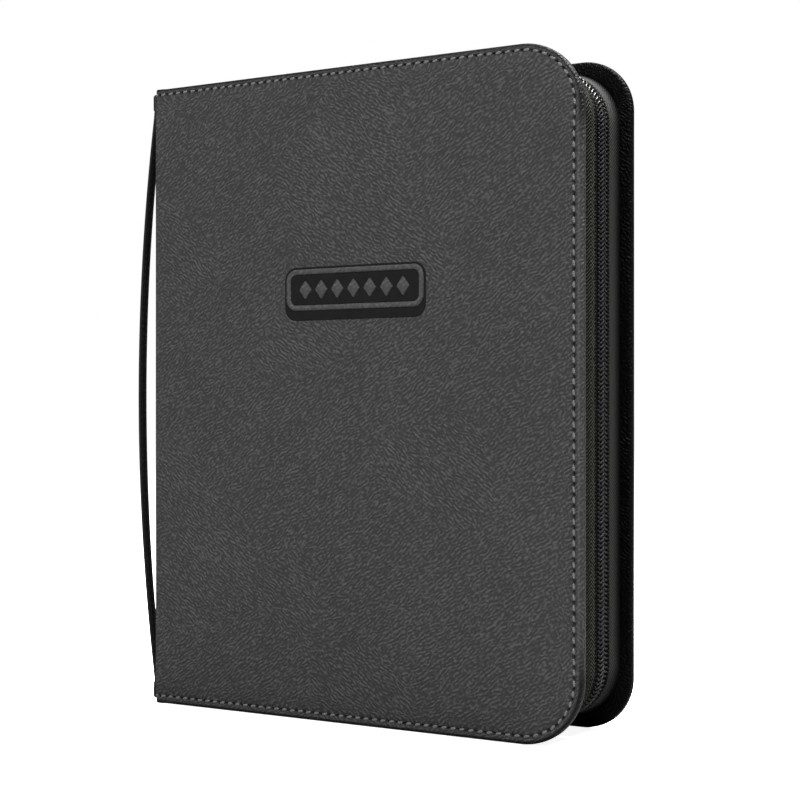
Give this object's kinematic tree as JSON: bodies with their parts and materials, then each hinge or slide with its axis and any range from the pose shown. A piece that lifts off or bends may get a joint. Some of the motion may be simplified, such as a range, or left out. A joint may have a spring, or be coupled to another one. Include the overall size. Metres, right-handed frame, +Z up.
{
  "type": "trading card binder",
  "caption": "Zip-around trading card binder with padded leather covers, fabric zip wall, pocket pages sewn to the spine and a bowed carry strap.",
  "frame": {"origin": "centre of the bounding box at the level of the bottom edge, on which the binder stands", "axes": "+Z up along the spine, -X towards the spine and strap, +X towards the fore-edge, -Y out of the front cover, +Y out of the back cover"},
  "size_m": [0.1994, 0.0448, 0.245],
  "materials": {
    "front_leather": "pebbled dark grey PU leather, satin",
    "back_leather": "pebbled black PU leather, satin",
    "strap_leather": "smooth black folded PU leather",
    "badge": "smooth black embossed PU patch",
    "padding": "grey polyurethane foam sheet",
    "board": "grey bookbinding board",
    "lining": "black woven polyester",
    "zip_tape": "black herringbone woven zip tape",
    "zip_coil": "black nylon coil",
    "zip_metal": "black-nickel plated zinc",
    "page_film": "black side-loading polypropylene page with clear pocket windows"
  },
  "bodies": {
    "back_cover": {"back_cover_leather": "back_leather", "back_cover_padding": "padding", "back_cover_board": "board", "back_cover_lining": "lining", "back_gusset": "lining", "back_zip_tape": "zip_tape", "back_zip_coil": "zip_coil", "back_zip_stop_upper": "zip_metal", "back_zip_stop_lower": "zip_metal"},
    "spine": {"spine_leather": "front_leather", "spine_board": "board", "spine_lining": "lining", "page_binding": "page_film", "strap_patch_upper": "strap_leather", "strap_patch_lower": "strap_leather"},
    "front_cover": {"front_cover_leather": "front_leather", "front_cover_padding": "padding", "front_cover_board": "board", "front_cover_lining": "lining", "cover_badge": "badge", "front_gusset": "lining", "front_zip_tape": "zip_tape", "front_zip_coil": "zip_coil", "front_zip_stop_upper": "zip_metal", "front_zip_stop_lower": "zip_metal"},
    "slider": {"slider_body": "zip_metal", "slider_bail": "zip_metal"},
    "pull": {"pull_tab": "zip_metal"},
    "strap": {"carry_strap": "strap_leather"},
    "page_01": {"pocket_page_01": "page_film"},
    "page_02": {"pocket_page_02": "page_film"},
    "page_03": {"pocket_page_03": "page_film"},
    "page_04": {"pocket_page_04": "page_film"},
    "page_05": {"pocket_page_05": "page_film"},
    "page_06": {"pocket_page_06": "page_film"},
    "page_07": {"pocket_page_07": "page_film"},
    "page_08": {"pocket_page_08": "page_film"},
    "page_09": {"pocket_page_09": "page_film"},
    "page_10": {"pocket_page_10": "page_film"},
    "page_11": {"pocket_page_11": "page_film"},
    "page_12": {"pocket_page_12": "page_film"},
    "page_13": {"pocket_page_13": "page_film"},
    "page_14": {"pocket_page_14": "page_film"},
    "page_15": {"pocket_page_15": "page_film"},
    "page_16": {"pocket_page_16": "page_film"},
    "page_17": {"pocket_page_17": "page_film"},
    "page_18": {"pocket_page_18": "page_film"},
    "page_19": {"pocket_page_19": "page_film"},
    "page_20": {"pocket_page_20": "page_film"}
  },
  "joints": [
    {"name": "spine_hinge", "type": "hinge", "parent": "back_cover", "child": "spine", "pos_m": [-0.08875, 0.02235, 0], "axis": [0, 0, -1], "range_deg": [0, 90]},
    {"name": "front_hinge", "type": "hinge", "parent": "spine", "child": "front_cover", "pos_m": [-0.08875, -0.02165, 0], "axis": [0, 0, -1], "range_deg": [0, 90]},
    {"name": "slider_slide", "type": "slide", "parent": "back_cover", "child": "slider", "axis": [1, 0, 0], "range_m": [0, 0.14]},
    {"name": "pull_swing", "type": "hinge", "parent": "slider", "child": "pull", "pos_m": [-0.07325, 0.00715, 0.24245], "axis": [0, -1, 0], "range_deg": [0, 120]},
    {"name": "strap_swing", "type": "hinge", "parent": "spine", "child": "strap", "pos_m": [-0.09065, -0.01755, 0], "axis": [0, 0, 1], "range_deg": [-25, 25]},
    {"name": "page_01_turn", "type": "hinge", "parent": "spine", "child": "page_01", "pos_m": [-0.08445, -0.01504, 0], "axis": [0, 0, -1], "range_deg": [0, 86.45]},
    {"name": "page_02_turn", "type": "hinge", "parent": "spine", "child": "page_02", "pos_m": [-0.08365, -0.01342, 0], "axis": [0, 0, -1], "range_deg": [0, 84.65]},
    {"name": "page_03_turn", "type": "hinge", "parent": "spine", "child": "page_03", "pos_m": [-0.08285, -0.0118, 0], "axis": [0, 0, -1], "range_deg": [0, 82.85]},
    {"name": "page_04_turn", "type": "hinge", "parent": "spine", "child": "page_04", "pos_m": [-0.08205, -0.01018, 0], "axis": [0, 0, -1], "range_deg": [0, 81.05]},
    {"name": "page_05_turn", "type": "hinge", "parent": "spine", "child": "page_05", "pos_m": [-0.08125, -0.00856, 0], "axis": [0, 0, -1], "range_deg": [0, 79.25]},
    {"name": "page_06_turn", "type": "hinge", "parent": "spine", "child": "page_06", "pos_m": [-0.08045, -0.00694, 0], "axis": [0, 0, -1], "range_deg": [0, 77.45]},
    {"name": "page_07_turn", "type": "hinge", "parent": "spine", "child": "page_07", "pos_m": [-0.07965, -0.00532, 0], "axis": [0, 0, -1], "range_deg": [0, 75.65]},
    {"name": "page_08_turn", "type": "hinge", "parent": "spine", "child": "page_08", "pos_m": [-0.07885, -0.0037, 0], "axis": [0, 0, -1], "range_deg": [0, 73.85]},
    {"name": "page_09_turn", "type": "hinge", "parent": "spine", "child": "page_09", "pos_m": [-0.07805, -0.00208, 0], "axis": [0, 0, -1], "range_deg": [0, 72.05]},
    {"name": "page_10_turn", "type": "hinge", "parent": "spine", "child": "page_10", "pos_m": [-0.07725, -0.00046, 0], "axis": [0, 0, -1], "range_deg": [0, 70.25]},
    {"name": "page_11_turn", "type": "hinge", "parent": "spine", "child": "page_11", "pos_m": [-0.07725, 0.00116, 0], "axis": [0, 0, 1], "range_deg": [0, 70.25]},
    {"name": "page_12_turn", "type": "hinge", "parent": "spine", "child": "page_12", "pos_m": [-0.07805, 0.00278, 0], "axis": [0, 0, 1], "range_deg": [0, 72.05]},
    {"name": "page_13_turn", "type": "hinge", "parent": "spine", "child": "page_13", "pos_m": [-0.07885, 0.0044, 0], "axis": [0, 0, 1], "range_deg": [0, 73.85]},
    {"name": "page_14_turn", "type": "hinge", "parent": "spine", "child": "page_14", "pos_m": [-0.07965, 0.00602, 0], "axis": [0, 0, 1], "range_deg": [0, 75.65]},
    {"name": "page_15_turn", "type": "hinge", "parent": "spine", "child": "page_15", "pos_m": [-0.08045, 0.00764, 0], "axis": [0, 0, 1], "range_deg": [0, 77.45]},
    {"name": "page_16_turn", "type": "hinge", "parent": "spine", "child": "page_16", "pos_m": [-0.08125, 0.00926, 0], "axis": [0, 0, 1], "range_deg": [0, 79.25]},
    {"name": "page_17_turn", "type": "hinge", "parent": "spine", "child": "page_17", "pos_m": [-0.08205, 0.01088, 0], "axis": [0, 0, 1], "range_deg": [0, 81.05]},
    {"name": "page_18_turn", "type": "hinge", "parent": "spine", "child": "page_18", "pos_m": [-0.08285, 0.0125, 0], "axis": [0, 0, 1], "range_deg": [0, 82.85]},
    {"name": "page_19_turn", "type": "hinge", "parent": "spine", "child": "page_19", "pos_m": [-0.08365, 0.01412, 0], "axis": [0, 0, 1], "range_deg": [0, 84.65]},
    {"name": "page_20_turn", "type": "hinge", "parent": "spine", "child": "page_20", "pos_m": [-0.08445, 0.01574, 0], "axis": [0, 0, 1], "range_deg": [0, 86.45]}
  ],
  "couplings": [
    {"joint": "page_01_turn", "follows": "front_hinge", "ratio": 0.96},
    {"joint": "page_02_turn", "follows": "front_hinge", "ratio": 0.94},
    {"joint": "page_03_turn", "follows": "front_hinge", "ratio": 0.92},
    {"joint": "page_04_turn", "follows": "front_hinge", "ratio": 0.9},
    {"joint": "page_05_turn", "follows": "front_hinge", "ratio": 0.88},
    {"joint": "page_06_turn", "follows": "front_hinge", "ratio": 0.86},
    {"joint": "page_07_turn", "follows": "front_hinge", "ratio": 0.84},
    {"joint": "page_08_turn", "follows": "front_hinge", "ratio": 0.82},
    {"joint": "page_09_turn", "follows": "front_hinge", "ratio": 0.8},
    {"joint": "page_10_turn", "follows": "front_hinge", "ratio": 0.78},
    {"joint": "page_11_turn", "follows": "spine_hinge", "ratio": 0.78},
    {"joint": "page_12_turn", "follows": "spine_hinge", "ratio": 0.8},
    {"joint": "page_13_turn", "follows": "spine_hinge", "ratio": 0.82},
    {"joint": "page_14_turn", "follows": "spine_hinge", "ratio": 0.84},
    {"joint": "page_15_turn", "follows": "spine_hinge", "ratio": 0.86},
    {"joint": "page_16_turn", "follows": "spine_hinge", "ratio": 0.88},
    {"joint": "page_17_turn", "follows": "spine_hinge", "ratio": 0.9},
    {"joint": "page_18_turn", "follows": "spine_hinge", "ratio": 0.92},
    {"joint": "page_19_turn", "follows": "spine_hinge", "ratio": 0.94},
    {"joint": "page_20_turn", "follows": "spine_hinge", "ratio": 0.96}
  ]
}
